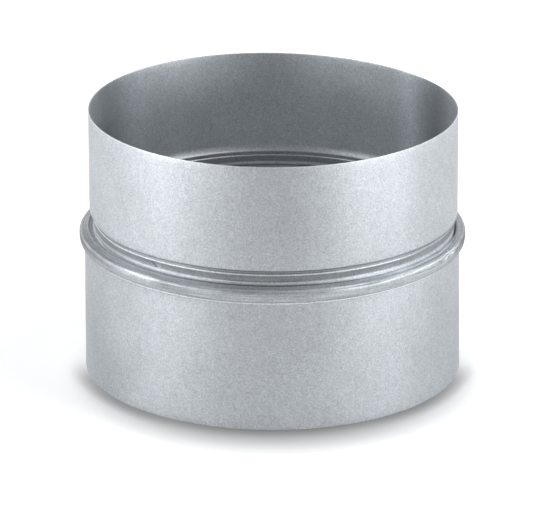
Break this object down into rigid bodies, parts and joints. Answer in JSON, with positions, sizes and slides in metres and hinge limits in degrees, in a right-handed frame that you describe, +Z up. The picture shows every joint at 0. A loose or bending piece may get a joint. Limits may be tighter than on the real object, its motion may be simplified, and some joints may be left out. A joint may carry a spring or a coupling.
{
  "type": "duct connector",
  "caption": "Round galvanised duct connector: a narrower spigot sleeve locked into a wider socket sleeve by a seam rolled into a raised bead at mid height.",
  "frame": {"origin": "centre of the bottom rim, on the surface that the connector stands on", "axes": "+Z up along the duct axis, from the socket end to the spigot end"},
  "size_m": [0.168, 0.168, 0.1155],
  "materials": {
    "galvanised_sheet_upper": "hot-dip zinc, matt silver-grey with a fine blue-grey mottle",
    "galvanised_sheet_lower": "hot-dip zinc, matt silver-grey with a fine blue-grey mottle, rolling streaks round the bead"
  },
  "bodies": {
    "root": {"upper_sleeve": "galvanised_sheet_upper", "lower_sleeve": "galvanised_sheet_lower"}
  },
  "joints": []
}
